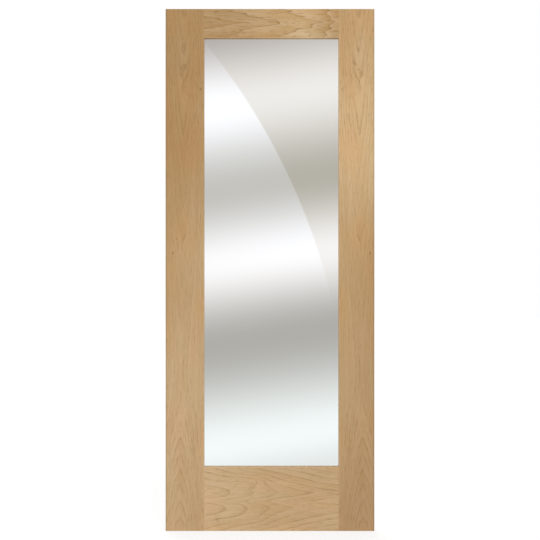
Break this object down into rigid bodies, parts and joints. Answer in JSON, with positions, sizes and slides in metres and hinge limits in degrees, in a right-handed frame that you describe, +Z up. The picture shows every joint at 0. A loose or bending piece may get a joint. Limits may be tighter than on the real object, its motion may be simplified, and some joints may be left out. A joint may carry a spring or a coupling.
{
  "type": "mirrored interior door",
  "caption": "Interior door leaf: oak-veneered stiles and rails framing a tall mirror panel on both faces, held in a groove round the opening.",
  "frame": {"origin": "foot of the hinge edge (the left edge in the picture), halfway through the leaf's thickness", "axes": "+X across the leaf from the hinge edge to the lock edge, +Y from the front face to the back face, +Z up"},
  "size_m": [0.813, 0.035, 2.032],
  "materials": {
    "oak_veneer": "satin",
    "oak_lipping": "satin",
    "softwood_core": "matte",
    "mirror_glass": "polished",
    "backing_board": "matte"
  },
  "bodies": {
    "root": {"left_stile_core": "softwood_core", "left_stile_front_veneer": "oak_veneer", "left_stile_back_veneer": "oak_veneer", "left_stile_outer_lipping": "oak_lipping", "left_stile_inner_lipping_front": "oak_lipping", "left_stile_inner_lipping_back": "oak_lipping", "right_stile_core": "softwood_core", "right_stile_front_veneer": "oak_veneer", "right_stile_back_veneer": "oak_veneer", "right_stile_outer_lipping": "oak_lipping", "right_stile_inner_lipping_front": "oak_lipping", "right_stile_inner_lipping_back": "oak_lipping", "bottom_rail_core": "softwood_core", "bottom_rail_front_veneer": "oak_veneer", "bottom_rail_back_veneer": "oak_veneer", "bottom_rail_inner_lipping_front": "oak_lipping", "bottom_rail_inner_lipping_back": "oak_lipping", "top_rail_core": "softwood_core", "top_rail_front_veneer": "oak_veneer", "top_rail_back_veneer": "oak_veneer", "top_rail_inner_lipping_front": "oak_lipping", "top_rail_inner_lipping_back": "oak_lipping", "front_mirror": "mirror_glass", "backing_board": "backing_board", "back_mirror": "mirror_glass"}
  },
  "joints": []
}
